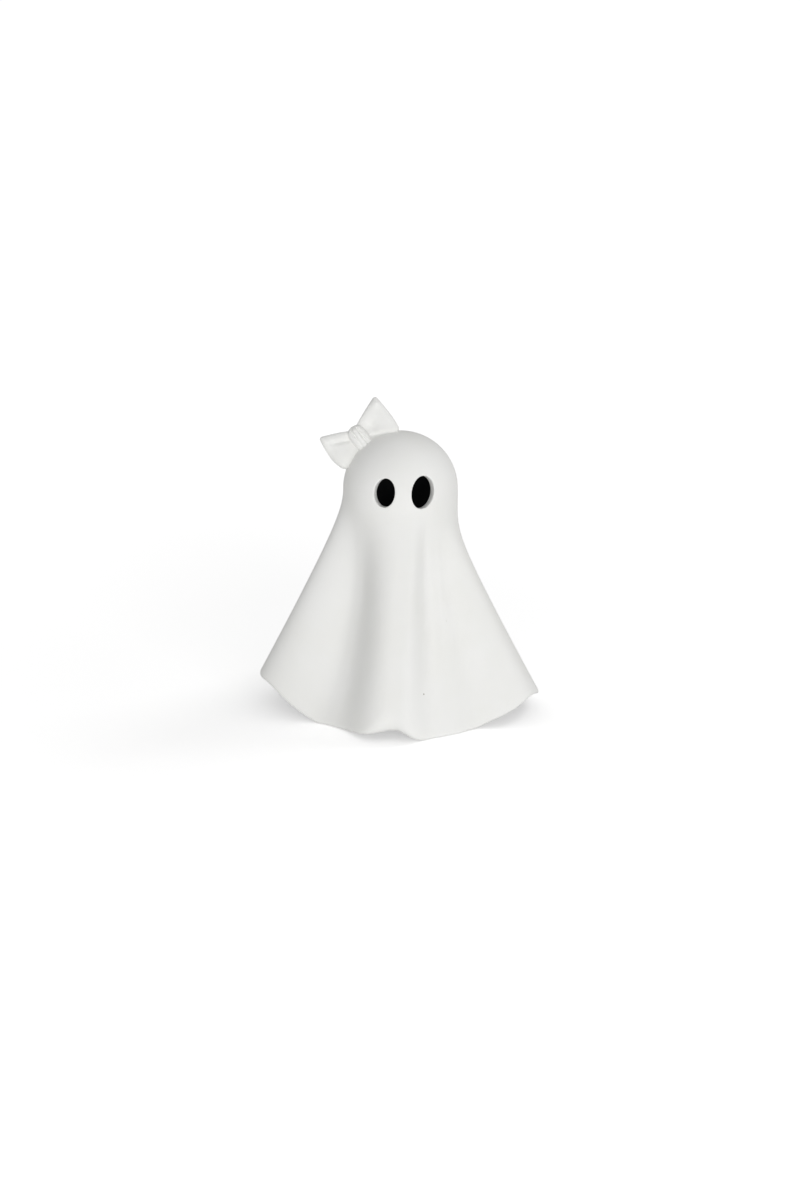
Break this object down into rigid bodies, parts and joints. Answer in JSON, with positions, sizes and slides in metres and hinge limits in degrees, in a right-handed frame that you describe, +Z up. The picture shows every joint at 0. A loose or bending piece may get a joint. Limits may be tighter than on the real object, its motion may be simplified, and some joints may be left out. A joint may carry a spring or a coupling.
{
  "type": "ceramic ghost figure",
  "caption": "Hollow white ceramic sheet ghost with cut-out eyes, a folded sheet with a wavy hem to stand on, and a bow on its head.",
  "frame": {"origin": "middle of the footprint, on the surface that the figure stands on", "axes": "+Z up, the face looks towards -Y, +X to the right of someone who looks at the face"},
  "size_m": [0.0892, 0.0856, 0.0965],
  "materials": {
    "bisque_body": "matt unglazed bisque",
    "bisque_slip": "matt unglazed bisque",
    "bisque_bow": "matt unglazed bisque"
  },
  "bodies": {
    "root": {"ghost_shell": "bisque_body", "slip_seam": "bisque_slip", "bow_knot": "bisque_bow", "bow_left_loop": "bisque_bow", "bow_right_loop": "bisque_bow"}
  },
  "joints": []
}
